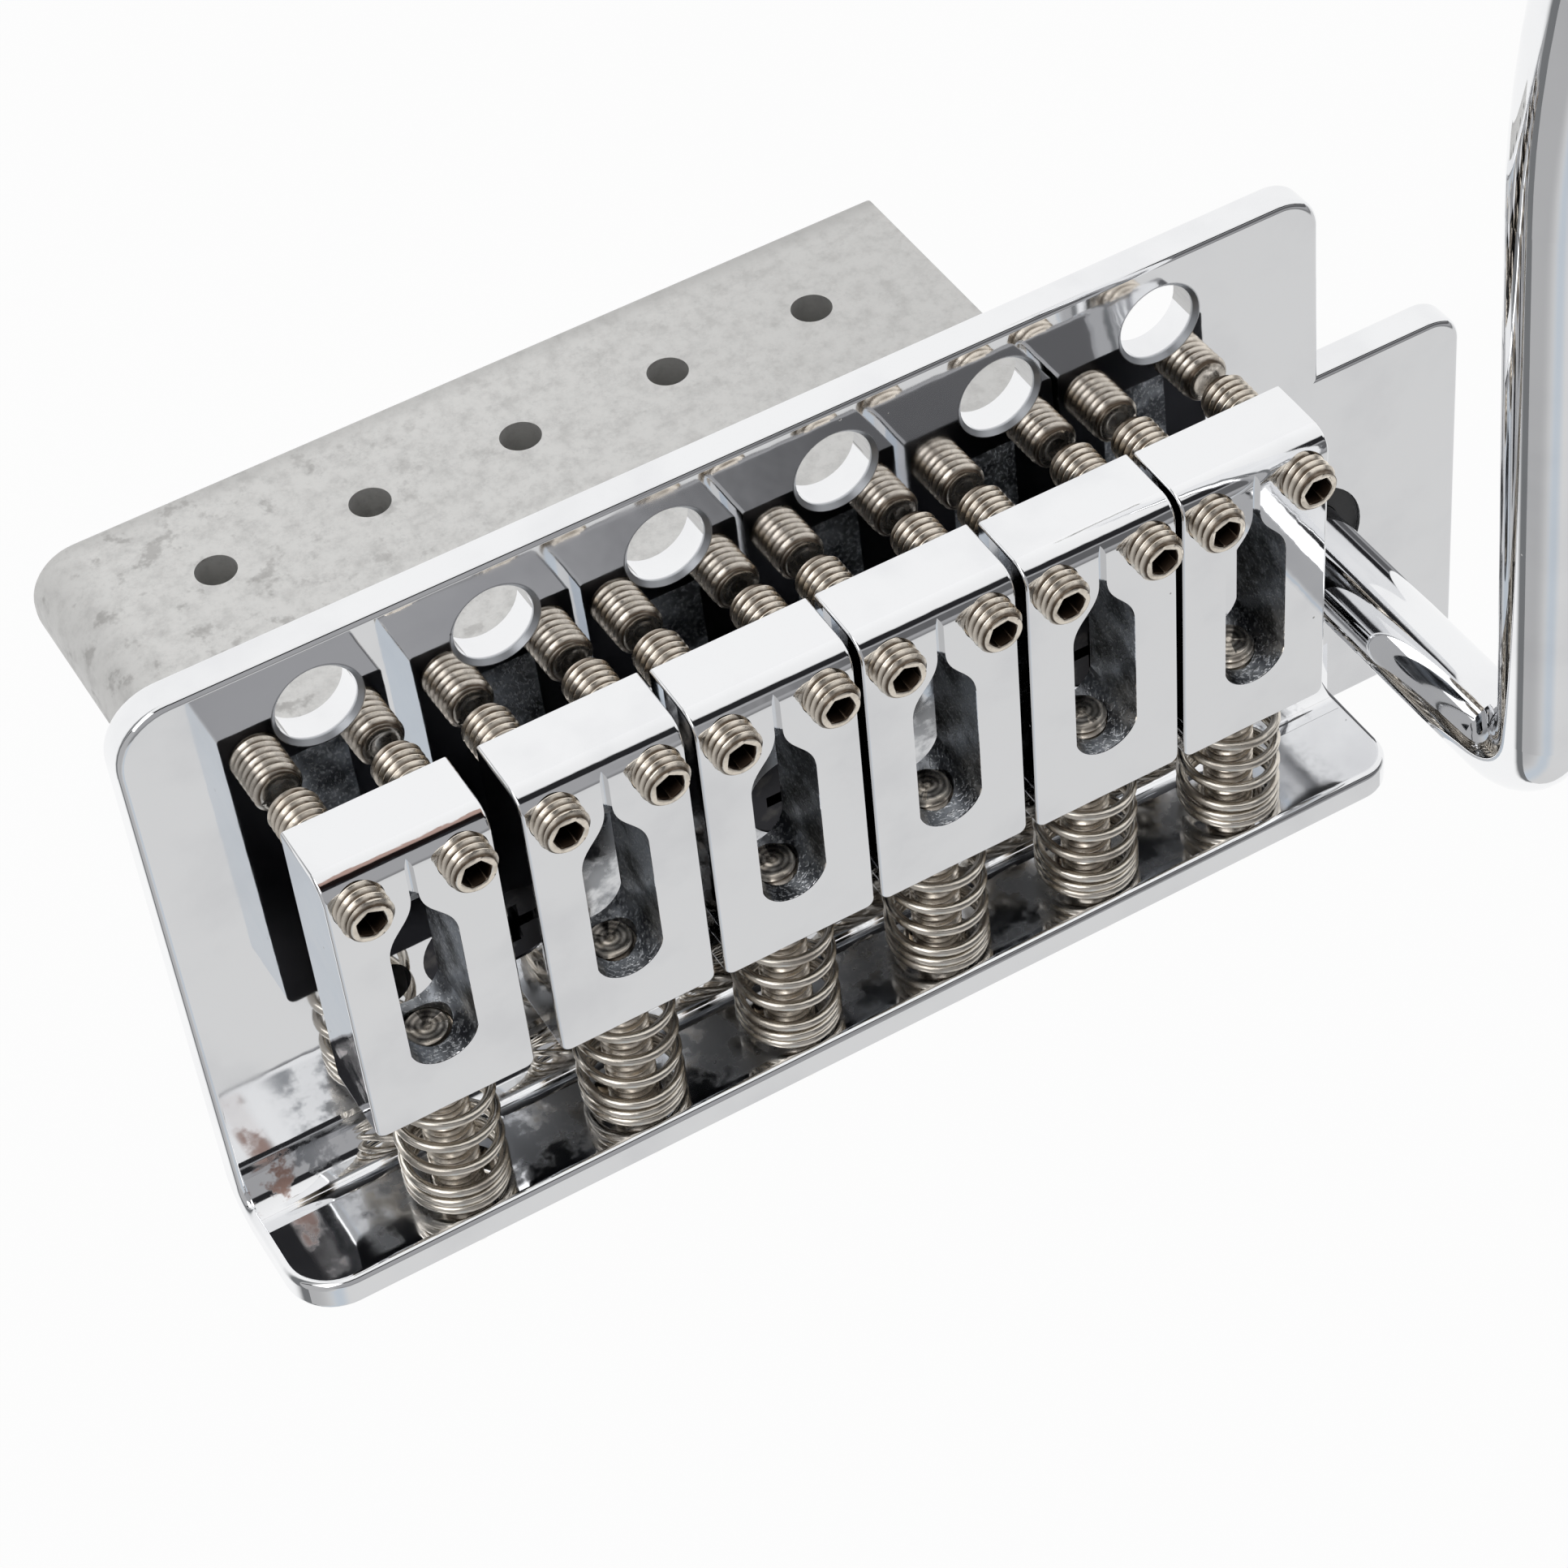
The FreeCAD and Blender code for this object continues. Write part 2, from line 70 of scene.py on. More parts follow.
joints = {j["name"]: j for j in frame["joints"]}
mm = 0.001


# Base plate: thick steel sheet, bent up into a lip at the rear, drilled and then chrome plated.
# The plating is a mirror with a slight wave from the buffing wheel and a few pits and specks.
# Below the saddles and up the lip it stays thin and cloudy and is painted a darker grey as shade, and
# copper shows through at the bass end.
class Socket:
    # A socket in a finish's node tree; sums and products of values add Math nodes
    def __init__(self, tree, socket):
        self.tree, self.socket = tree, socket

    def feed(self, node, inputs):
        for key, value in inputs.items():
            if isinstance(value, Socket):
                self.tree.links.new(value.socket, node.inputs[key])
            else:
                node.inputs[key].default_value = value

    def node(self, kind, settings, inputs, output=0):
        made = self.tree.nodes.new(kind)
        for key, value in settings.items():
            if key == "stops":
                elements = made.color_ramp.elements
                while len(elements) < len(value):
                    elements.new(1.0)
                for element, (position, colour) in zip(elements, value):
                    element.position = position
                    element.color = colour
            else:
                setattr(made, key, value)
        self.feed(made, inputs)
        return Socket(self.tree, made.outputs[output])

    def math(self, operation, *values):
        return self.node("ShaderNodeMath", {"operation": operation}, dict(enumerate(values)))

    def __add__(self, other):
        return self.math("ADD", self, other)

    def __sub__(self, other):
        return self.math("SUBTRACT", self, other)

    def __rsub__(self, other):
        return self.math("SUBTRACT", other, self)

    def __mul__(self, other):
        return self.math("MULTIPLY", self, other)

    __radd__ = __add__
    __rmul__ = __mul__

    def rise(self, low, high):
        # 0 up to low, 1 from high on, with a smooth step between
        inputs = {"Value": self, "From Min": low, "From Max": high}
        return self.node("ShaderNodeMapRange", {"interpolation_type": "SMOOTHSTEP"}, inputs)

    def band(self, start, end):
        # 1 between two ranges, 0 outside them, with a smooth step over each
        return self.rise(*start) * (1 - self.rise(*end))

    def mix(self, colour_a, colour_b):
        return self.node("ShaderNodeMix", {"data_type": "RGBA"}, {0: self, 6: colour_a, 7: colour_b}, 2)

    def noise(self, scale, detail=2.0, roughness=0.5):
        inputs = {"Vector": self, "Scale": scale, "Detail": detail, "Roughness": roughness}
        return self.node("ShaderNodeTexNoise", {}, inputs)

    def stretched(self, scale):
        return self.node("ShaderNodeMapping", {}, {"Vector": self, "Scale": scale})

    def part(self, axis):
        return self.node("ShaderNodeSeparateXYZ", {}, {0: self}, axis)

    def bump(self, normal=None):
        # Heights in metres, over the surface's own normal or over a given one
        inputs = {"Strength": 1.0, "Distance": 1.0, "Height": self}
        if normal:
            inputs["Normal"] = normal
        return self.node("ShaderNodeBump", {}, inputs)

    def facing(self):
        return self.node("ShaderNodeNewGeometry", {}, {}, "Normal")

    def leaning(self, lift):
        # A normal that is turned up by this slope, or down where it is negative
        parts = {0: self.part(0), 1: self.part(1), 2: self.part(2) + lift}
        tilted = self.node("ShaderNodeCombineXYZ", {}, parts)
        return self.node("ShaderNodeVectorMath", {"operation": "NORMALIZE"}, {0: tilted})


def new_finish(name):
    material = bpy.data.materials.new(name)
    material.use_nodes = True
    tree = material.node_tree
    return material, Socket(tree, tree.nodes.new("ShaderNodeTexCoord").outputs["Object"])


def shade(material, place, inputs):
    place.feed(material.node_tree.nodes["Principled BSDF"], inputs)
    return material


def wear(node, material):
    node.data.materials.clear()
    node.data.materials.append(material)


chrome_light = (0.90, 0.905, 0.915, 1)
chrome_dull = (0.83, 0.835, 0.85, 1)
speck_grey = (0.42, 0.40, 0.38, 1)
film_grey = (0.38, 0.395, 0.42, 1)
film_copper = (0.42, 0.25, 0.20, 1)
copper_start = (-36.0 * mm, -35.4 * mm)
copper_end = (-34.6 * mm, -33.8 * mm)
pit_depth = 0.01 * mm
plate_wave = 0.012 * mm


def pits_on(place, per_metre, size):
    # Scattered round specks, 1 in the middle and 0 between them
    inputs = {"Vector": place, "Scale": per_metre, "Randomness": 1.0}
    from_middle = place.node("ShaderNodeTexVoronoi", {}, inputs)
    cell_colour = place.node("ShaderNodeTexVoronoi", {}, inputs, 1)
    chosen = cell_colour.part(0).rise(0.70, 0.72)
    return (1 - from_middle.rise(size * 0.4, size)) * chosen


def chrome_plating(name, wave, film_on=None, lift_on=None):
    # film_on and lift_on say where cloudy film lies, on the plate also painted shade, and where the
    # shading normal leans
    material, place = new_finish(name)
    pits = pits_on(place, 330, 0.035)
    haze = place.noise(140, 4.0).rise(0.45, 0.75)
    swell = place.noise(170, 1.0) + 0.25 * place.noise(620, 1.0)
    colour = pits.mix(haze.mix(chrome_light, chrome_dull), speck_grey)
    roughness = 0.035 + 0.05 * haze + 0.25 * pits
    height = swell * wave - pit_depth * pits
    if film_on:
        film = film_on(place)
        past_copper = place.part(0).rise(*copper_end)
        colour = (0.9 * film).mix(colour, past_copper.mix(film_copper, film_grey))
        roughness = roughness + (0.45 - 0.15 * past_copper) * film
    normal = None
    if lift_on:
        normal = place.facing().leaning(lift_on(place))
    return shade(material, place, {
        "Base Color": colour,
        "Metallic": 1.0,
        "Roughness": roughness,
        "Normal": height.bump(normal),
    })


top_face = (-0.6 * mm, -0.3 * mm)
lip_rear = (-34.4 * mm, -34.2 * mm)
lip_front = (-32.8 * mm, -31.6 * mm)
lip_brim = (7.6 * mm, 8.0 * mm)
lip_film_start = (-33.4 * mm, -31.5 * mm)
lip_film_thins = (22 * mm, 31 * mm)
lip_film_stops = (33 * mm, 34 * mm)
below_saddles_y = ((-29 * mm, -27 * mm), (-12 * mm, -10 * mm))
below_saddles_x = ((-19 * mm, -16 * mm), (28 * mm, 30 * mm))


def cloudy_corner(place):
    # Cloudy plating up the lip and below the saddles, where the buffing wheel does not reach, with
    # painted shade in the same darker grey
    x, y, z = place.part(0), place.part(1), place.part(2)
    steep = place.facing().part(2)
    bend = steep.band((0.12, 0.25), (0.88, 0.96))
    lip = y.band(lip_rear, lip_front) * z.band(top_face, lip_brim) * (1 - 0.9 * bend)
    lip = lip * (1 - 0.75 * x.rise(*lip_film_thins)) * (1 - x.rise(*lip_film_stops))
    copper = x.band(copper_start, copper_end)
    lip = lip * place.math("MAXIMUM", x.rise(*lip_film_start), 0.9 * copper)
    below = y.band(*below_saddles_y) * x.band(*below_saddles_x) * z.rise(*top_face)
    # Painted shade: the lip's corner and the plate below the saddles and springs are darker grey
    dull = place.math("MAXIMUM", lip, 0.85 * below)
    return dull * (0.15 + 0.85 * place.noise(300, 4.0, 0.65).rise(0.42, 0.60))


hole_pitch = 10.5 * mm
hole_radius = 2.4 * mm
hole_row_end = (31 * mm, 31.5 * mm)
hole_brim = (-0.5 * mm, -0.3 * mm)
rim_inside = (hole_radius - 0.06 * mm, hole_radius)
rim_outside = (hole_radius + 0.24 * mm, hole_radius + 0.36 * mm)


def dull_spots(place):
    # Dull, darker rims round the row of pivot holes, besides the cloudy corner at the lip
    x, y, z = place.part(0), place.part(1), place.part(2)
    from_hole = (place.math("FRACT", x * (1 / hole_pitch)) - 0.5) * hole_pitch
    radius = place.math("SQRT", from_hole * from_hole + y * y)
    in_row = 1 - place.math("ABSOLUTE", x).rise(*hole_row_end)
    rim = radius.band(rim_inside, rim_outside) * in_row * z.rise(*hole_brim)
    return place.math("MAXIMUM", cloudy_corner(place), rim)


lip_lean = 0.04
lip_only = (-31.6 * mm, -30.6 * mm)


def overbent(place):
    # The lip's inner face comes out of the press leaning forward by about two degrees
    inner = place.facing().part(1).rise(0.7, 1.0) * (1 - place.part(1).rise(*lip_only))
    return -lip_lean * inner


bend_worn = (-34 * mm, -30 * mm)
lip_inner = -34.1 * mm
bend_hollow = 2.8 * mm
bend_ends = (-37.1 * mm, 36.6 * mm)
bend_steps = 16
bend_crease = 40
laid_on = 0.01 * mm


def bend_film(place):
    # Worn patches on the bend, mostly at its bass end
    tarnish_and_shade = 0.25 + 0.75 * (1 - place.part(0).rise(*bend_worn))
    return tarnish_and_shade * place.noise(420, 4.0, 0.65).rise(0.50, 0.60)


def smoothed(mesh, crease):
    # Shades a mesh smooth, apart from edges that turn by more than this many degrees
    for face in mesh.polygons:
        face.use_smooth = True
    mesh.set_sharp_from_angle(angle=math.radians(crease))
    return mesh


def bend_mesh():
    # A hollow fillet along the corner between plate and lip, wider than the plate's own bend
    profile = [(lip_inner, 0)]
    for k in range(bend_steps + 1):
        angle = math.pi / 2 * k / bend_steps
        y = lip_inner + bend_hollow * (1 - math.sin(angle))
        z = bend_hollow * (1 - math.cos(angle))
        profile.append((y, z))
    count = len(profile)
    points = [(x, y + laid_on, z + laid_on) for x in bend_ends for y, z in profile]
    faces = [tuple(reversed(range(count))), tuple(range(count, 2 * count))]
    for i in range(count):
        j = (i + 1) % count
        faces.append((i, j, count + j, count + i))
    mesh = bpy.data.meshes.new("lip_bend")
    mesh.from_pydata(points, [], faces)
    return smoothed(mesh, bend_crease)


def new_piece(name, mesh, material):
    piece = bpy.data.objects.new(name, mesh)
    bpy.context.scene.collection.objects.link(piece)
    if not mesh.materials:
        mesh.materials.append(material)
    return piece


wear(nodes["base_plate"], chrome_plating("plate_chrome", plate_wave, dull_spots, overbent))
lip_bend = new_piece("lip_bend", bend_mesh(), chrome_plating("bend_chrome", plate_wave, bend_film))
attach(lip_bend, "bridge")


# Block: die-cast zinc left as it came from the mould, screwed on below the plate.
# The skin is pale grey and mottled with darker, slightly rougher blotches; painted shade darkens it at
# the foot, the bass end and towards the treble end.
zinc_pale = (0.74, 0.735, 0.72, 1)
zinc_dark = (0.50, 0.495, 0.485, 1)
zinc_stain = (0.30, 0.29, 0.28, 1)
bass_end = -30.8 * mm
block_foot = -40.8 * mm
skin_grain = 0.03 * mm
skin_wave = 0.06 * mm
foot_shadow = (block_foot + 0.3 * mm, block_foot + 2.2 * mm)
end_shadow = (bass_end + 0.2 * mm, bass_end + 4.5 * mm)
treble_shadow = (-5 * mm, 29 * mm)
stain_fades = (bass_end, bass_end + 45 * mm)


def cast_zinc():
    material, place = new_finish("cast_zinc")
    blotch = place.noise(640, 6.0, 0.7).rise(0.40, 0.72)
    fleck = place.noise(1900, 4.0, 0.7).rise(0.50, 0.72)
    x, z = place.part(0), place.part(2)
    towards_bass = 1 - x.rise(*stain_fades)
    stain = place.noise(520, 4.0, 0.6).rise(0.56, 0.68) * (0.15 + 0.85 * towards_bass)
    # Painted shade: darker at the foot and the bass end, and towards the treble end
    edges = place.math("MAXIMUM", 1 - z.rise(*foot_shadow), 1 - x.rise(*end_shadow))
    shadow = 0.55 * edges + 0.3 * x.rise(*treble_shadow)
    colour = shadow.mix((0.5 * blotch).mix(zinc_pale, zinc_dark), zinc_dark)
    colour = (0.35 * fleck).mix((0.55 * stain).mix(colour, zinc_stain), zinc_dark)
    height = skin_grain * place.noise(1300, 3.0) + skin_wave * place.noise(240, 2.0)
    return shade(material, place, {
        "Base Color": colour,
        "Metallic": 0.75,
        "Roughness": 0.40 + 0.15 * blotch,
        "Normal": height.bump(),
    })


wear(nodes["tremolo_block"], cast_zinc())


# Block screws: three countersunk machine screws of blackened steel, driven down through the plate.
# Only their heads show, below the saddles' slots; the oiled oxide skin is rubbed grey in places.
oxide_black = (0.045, 0.045, 0.05, 1)
oxide_rubbed = (0.16, 0.155, 0.15, 1)


def black_oxide():
    material, place = new_finish("black_oxide")
    rubbed = place.noise(700, 4.0).rise(0.52, 0.75)
    return shade(material, place, {
        "Base Color": rubbed.mix(oxide_black, oxide_rubbed),
        "Metallic": 1.0,
        "Roughness": 0.30 + 0.15 * rubbed,
    })


wear(nodes["block_screws"], black_oxide())


# Saddles: six die-cast blocks with a rounded front edge and a slot right through, chrome plated.
# Plating stays thin and grainy in the slot and below, so these are rough and speckled, not mirrors; the
# slot's dark patches and the near-black underside are painted shade.
# A ramp in the bottom of each slot leads the string up to the nose.
saddle_count = 6
saddle_front = 31.815 * mm
saddle_setback = (0.0, 0.3 * mm, 0.55 * mm, 0.6 * mm, 0.9 * mm, 1.05 * mm)
saddle_top = 2.75 * mm
saddle_bottom = -2.2 * mm
front_lean = 0.3
saddle_wave = 0.012 * mm
grain_depth = 0.02 * mm
slot_half_width = 2.05 * mm
slot_front = 3.25 * mm
slot_rear = 17.2 * mm
slot_margin = 0.05 * mm
slot_brim = (saddle_top - 0.12 * mm, saddle_top - 0.04 * mm)
worn_saddle = 1
worn_reach = (1.6 * mm, 1.7 * mm)
grain_and_shade_black = (0.10, 0.105, 0.115, 1)
grain_blue = (0.62, 0.65, 0.69, 1)
grain_pale = (0.86, 0.88, 0.90, 1)
underside_painted_shade = (0.035, 0.035, 0.04, 1)
copper_worn = (0.36, 0.20, 0.155, 1)


def screw_line(n):
    # Where this string's long screw goes through the lip, and the direction in which it points
    turn = joints["intonation_turn_" + str(n)]
    return Vector(turn["pos_m"]), Vector(turn["axis"]).normalized()


def saddle_chrome(n):
    # The front face mirrors the room as if it leaned back, so its shading normal is turned up
    material, place = new_finish("saddle_chrome_" + str(n))
    pits = pits_on(place, 420, 0.04)
    haze = place.noise(160, 4.0).rise(0.45, 0.75)
    swell = 1.6 * place.noise(230, 1.0) + 0.5 * place.noise(800, 1.0)
    facing = place.facing()
    # Faces that look down are painted near black as shade
    below = 1 - facing.part(2).rise(-0.9, -0.5)
    leaning = facing.leaning(front_lean * facing.part(1).rise(0.6, 1.0))
    lip, axis = screw_line(n)
    y, z = place.part(1) - lip.y, place.part(2) - lip.z
    back = saddle_front - saddle_setback[n - 1] - (y * axis.y + z * axis.z)
    above = z * axis.y - y * axis.z
    aside = place.math("ABSOLUTE", place.part(0) - lip.x)
    slot = back.band((slot_front - slot_margin, slot_front), (slot_rear, slot_rear + slot_margin))
    slot = slot * (1 - aside.rise(slot_half_width + slot_margin, slot_half_width + 2 * slot_margin))
    slot = slot * (1 - above.rise(*slot_brim))
    # Inside the slot: grainy plating, with dark patches painted as the slot's shade
    cloud = place.noise(330, 3.0, 0.55).rise(0.36, 0.62)
    grain = place.noise(4200, 2.0, 0.6).rise(0.50, 0.64)
    slot_grain_and_shade = (grain * (0.3 + 0.7 * cloud)).mix(cloud.mix(grain_and_shade_black, grain_blue), grain_pale)
    colour = pits.mix(haze.mix(chrome_light, chrome_dull), speck_grey)
    if n == worn_saddle:
        ragged = place.stretched((0.25, 1, 1)).noise(1600, 4.0, 0.7) * 0.3 - 0.15
        edge = facing.part(2) + ragged
        rubbed = edge.band((0.44, 0.50), (0.70, 0.76)) * (1 - back.rise(*worn_reach))
        rubbed = rubbed * (1 - place.math("ABSOLUTE", facing.part(0)).rise(0.2, 0.3))
        colour = (0.85 * rubbed).mix(colour, copper_worn)
    dark = place.math("MAXIMUM", slot, below)
    height = swell * saddle_wave - pit_depth * pits + grain_depth * slot * grain
    return shade(material, place, {
        "Base Color": slot.mix(below.mix(colour, underside_painted_shade), slot_grain_and_shade),
        "Metallic": 1.0,
        "Roughness": 0.035 + 0.05 * haze + 0.25 * pits + 0.30 * dark,
        "Normal": height.bump(leaning),
    })


ramp_start = 5.1 * mm
ramp_end = 9.4 * mm
ramp_height = 2.95 * mm


def ramp_mesh(n):
    # A wedge in the bottom of the slot that leads the string up to the nose
    lip, axis = screw_line(n)
    up = Vector((0, -axis.z, axis.y))
    nose = lip + axis * (saddle_front - saddle_setback[n - 1]) + up * (saddle_bottom + laid_on)
    foot = nose - axis * ramp_start
    outline = (foot, nose - axis * ramp_end, foot + up * ramp_height)
    half = Vector((slot_half_width, 0, 0))
    mesh = bpy.data.meshes.new("string_ramp_" + str(n))
    faces = [(0, 1, 2), (5, 4, 3), (0, 3, 4, 1), (1, 4, 5, 2), (2, 5, 3, 0)]
    mesh.from_pydata([p - half for p in outline] + [p + half for p in outline], [], faces)
    return mesh


for n in range(1, saddle_count + 1):
    node = "saddle_" + str(n)
    finish = saddle_chrome(n)
    wear(nodes[node], finish)
    ramp = new_piece("string_ramp_" + str(n), ramp_mesh(n), finish)
    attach(ramp, node)


# Height screws: two cup-point grub screws in the nose of each saddle, rolled thread, nickel plated.
# A hexagon key socket is broached into the top and painted near black as shade; the thread's grooves are
# painted dark brown, partly tarnish and partly shade.
nickel_light = (0.93, 0.85, 0.74, 1)
nickel_brown = (0.12, 0.09, 0.065, 1)
painted_shade_brown = (0.03, 0.02, 0.014, 1)
ring_pitch = 0.36 * mm
thread_radius = 1.5 * mm
thread_pitch = 0.5 * mm
thread_depth = 0.27 * mm
thread_chamfer = 0.3 * mm
thread_crest = thread_radius - 0.06 * mm
rolled_wave = 0.012 * mm
end_fade = 0.1 * mm
end_edge = 0.04 * mm
grub_length = 9.9 * mm
grub_spacing = 6.1 * mm
grub_turn = 0.37
grub_pair_turn = 0.2745
key_half_width = 0.75 * mm
key_corner = 0.88 * mm
key_depth = 1.7 * mm
key_bevel = 0.1 * mm
key_cone = 0.375 * mm
cup_radius = 0.75 * mm
cup_depth = 0.5 * mm
around = 48
screw_crease = 50
weld = 0.0005 * mm
# The thread's outline over one turn: share of the turn, and how far out the metal stands
thread_shape = ((0.0, 0.92), (0.08, 1.0), (0.16, 0.92), (0.44, 0.1), (0.58, 0.0), (0.72, 0.1))


def thread_point(angle, height, depth_share, start, end):
    from_end = min(height - start, end - height)
    radius = thread_radius - thread_depth * (1 - depth_share)
    radius = min(radius, thread_radius - thread_chamfer + from_end)
    return Vector((radius * math.cos(angle), radius * math.sin(angle), height))


def share_at(turn):
    # How far out the thread stands at this share of a turn, from 0 in the groove to 1 on the crest
    points = list(thread_shape) + [(thread_shape[0][0] + 1, thread_shape[0][1])]
    for (a, out_a), (b, out_b) in zip(points, points[1:]):
        if a <= turn <= b:
            return out_a + (out_b - out_a) * (turn - a) / (b - a)


def add_thread(bm, start, end):
    # Ridges that follow the helix, cut off square at both ends
    first = math.floor(start / thread_pitch) - 2
    last = math.ceil(end / thread_pitch) + 1
    steps = [(turn, offset) for turn in range(first, last) for offset, _ in thread_shape]
    columns = []
    for i in range(around + 1):
        angle = 2 * math.pi * i / around
        column = []
        for turn, offset in steps:
            height = min(max((turn + offset + i / around) * thread_pitch, start), end)
            share = share_at((height / thread_pitch - i / around) % 1.0)
            column.append(bm.verts.new(thread_point(angle, height, share, start, end)))
        columns.append(column)
    for left, right in zip(columns, columns[1:]):
        for k in range(len(steps) - 1):
            bm.faces.new((left[k], right[k], right[k + 1], left[k + 1]))


def add_loops(bm, loops):
    # Quads between rings of points, closed by a fan where a ring has shrunk to one point
    rings = [[bm.verts.new(p) for p in loop] for loop in loops]
    for a, b in zip(rings, rings[1:]):
        for i in range(around):
            j = (i + 1) % around
            bm.faces.new((a[i], a[j], b[j], b[i]))


def ring(radius_at, height):
    loop = []
    for i in range(around):
        angle = 2 * math.pi * i / around
        radius = radius_at(angle)
        loop.append(Vector((radius * math.cos(angle), radius * math.sin(angle), height)))
    return loop


def level(radius):
    return lambda angle: radius


def key_flat(half_width):
    # Outline of a hexagon as the distance from its middle
    def radius_at(angle):
        return half_width / math.cos((angle + math.pi / 6) % (math.pi / 3) - math.pi / 6)
    return radius_at


def finished_mesh(bm, name, crease):
    bmesh.ops.remove_doubles(bm, verts=bm.verts, dist=weld)
    bmesh.ops.dissolve_degenerate(bm, edges=bm.edges, dist=weld)
    bmesh.ops.recalc_face_normals(bm, faces=bm.faces)
    mesh = bpy.data.meshes.new(name)
    bm.to_mesh(mesh)
    bm.free()
    return smoothed(mesh, crease)


def grub_screw_mesh():
    bm = bmesh.new()
    add_thread(bm, 0, grub_length)
    rim = thread_radius - thread_chamfer
    top = grub_length
    add_loops(bm, [
        ring(level(rim), top),
        ring(key_flat(key_half_width + key_bevel), top),
        ring(key_flat(key_half_width), top - key_bevel),
        ring(key_flat(key_half_width), top - key_depth),
        ring(level(0), top - key_depth - key_cone),
    ])
    add_loops(bm, [ring(level(rim), 0), ring(level(cup_radius), 0), ring(level(0), cup_depth)])
    return finished_mesh(bm, "grub_screw", screw_crease)


def threaded_nickel(name, end_from, end_radius, ring_share):
    # Grooves, judged by the distance from the screw's own axis, are painted darker than the crests,
    # partly tarnish and partly shade.
    # Past end_from and inside end_radius the colour is dark brown painted shade, with bright turned rings
    # by ring_share.
    material, place = new_finish(name)
    x, y, z = place.part(0), place.part(1), place.part(2)
    radius = place.math("SQRT", x * x + y * y)
    own_facing = place.node("ShaderNodeTexCoord", {}, {}, "Normal")
    flat = place.math("ABSOLUTE", own_facing.part(2)).rise(0.85, 0.95)
    # Painted shade with tarnish: the grooves darker than the crests
    groove = (1 - radius.rise(thread_radius - thread_depth, thread_crest)) * (1 - flat)
    streak = place.stretched((1, 1, 5)).noise(900, 4.0, 0.65).rise(0.40, 0.68)
    # Painted shade in the key socket and at the screw's tip
    end = (1 - radius.rise(end_radius - end_edge, end_radius)) * z.rise(end_from, end_from + end_fade)
    rings = ring_share * (0.65 + 0.35 * place.math("SINE", radius * (2 * math.pi / ring_pitch)))
    tarnish_and_shade = place.math("MINIMUM", 0.9 * groove + 0.3 * streak, 1.0)
    thread_colour = tarnish_and_shade.mix(nickel_light, nickel_brown)
    end_colour = rings.mix(painted_shade_brown, nickel_light)
    return shade(material, place, {
        "Base Color": end.mix(thread_colour, end_colour),
        "Metallic": 1.0,
        "Roughness": 0.20 + 0.15 * streak + 0.15 * groove,
        "Normal": (rolled_wave * place.noise(1500, 2.0)).bump(),
    })


def set_along(piece, middle, axis, turn):
    # Stands a piece that was modelled along Z on the given axis
    stand = Vector((0, 0, 1)).rotation_difference(axis).to_matrix().to_4x4()
    piece.matrix_world = Matrix.Translation(middle) @ stand @ Matrix.Rotation(turn, 4, "Z")


grub_mesh = grub_screw_mesh()
key_foot = grub_length - key_depth - key_half_width
grub_nickel = threaded_nickel("grub_nickel", key_foot, key_corner, 0.0)
for n in range(1, saddle_count + 1):
    node = "height_screws_" + str(n)
    low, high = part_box(node)
    axis = Vector(joints["height_slide_" + str(n)]["axis"]).normalized()
    for side, sign in (("bass", -1), ("treble", 1)):
        grub = new_piece("grub_screw_" + str(n) + "_" + side, grub_mesh, grub_nickel)
        middle = (low + high) / 2 + Vector((sign * grub_spacing / 2, 0, 0))
        foot = middle - axis * grub_length / 2
        set_along(grub, foot, axis, n * grub_turn + sign * grub_pair_turn)
        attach(grub, node)
        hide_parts(node)


# Intonation screws: long pan-head machine screws through the lip, tapped into each saddle's rear wall.
# The head has a cross recess and bears on the lip's back; the thread is rolled and nickel plated.
screw_length = 16.2 * mm
screw_seat = -1.3 * mm
head_radius = 2.5 * mm
head_height = 1.72 * mm
head_round = 1.6 * mm
dome_rings = 8
crown_margin = 0.25 * mm
cross_half_width = 0.4 * mm
cross_half_span = 1.45 * mm
cross_depth = 1.1 * mm
cross_bevel = 0.08 * mm
cross_lip = 0.16 * mm
cross_taper = 0.1 * mm
cross_cone = 0.3 * mm
turned_tip = 0.4 * mm
turned_radius = 1.6 * mm
turned_rings = 0.95
screw_turn = 0.83
nearly_zero = 1e-9


def cross_outline(grow):
    # Outline of the cross as the distance from its middle
    def radius_at(angle):
        c, s = abs(math.cos(angle)) + nearly_zero, abs(math.sin(angle)) + nearly_zero
        wide, thin = cross_half_span + grow, cross_half_width + grow
        return max(min(wide / c, thin / s), min(wide / s, thin / c))
    return radius_at


def dome_drop(radius):
    # How far the domed head has fallen away from its flat middle at this distance from the axis
    outside = max(radius - head_radius + head_round, 0)
    return head_round - math.sqrt(head_round ** 2 - min(outside, head_round) ** 2)


def ring_on_dome(radius_at, face):
    return [Vector((p.x, p.y, face + dome_drop(p.xy.length))) for p in ring(radius_at, face)]


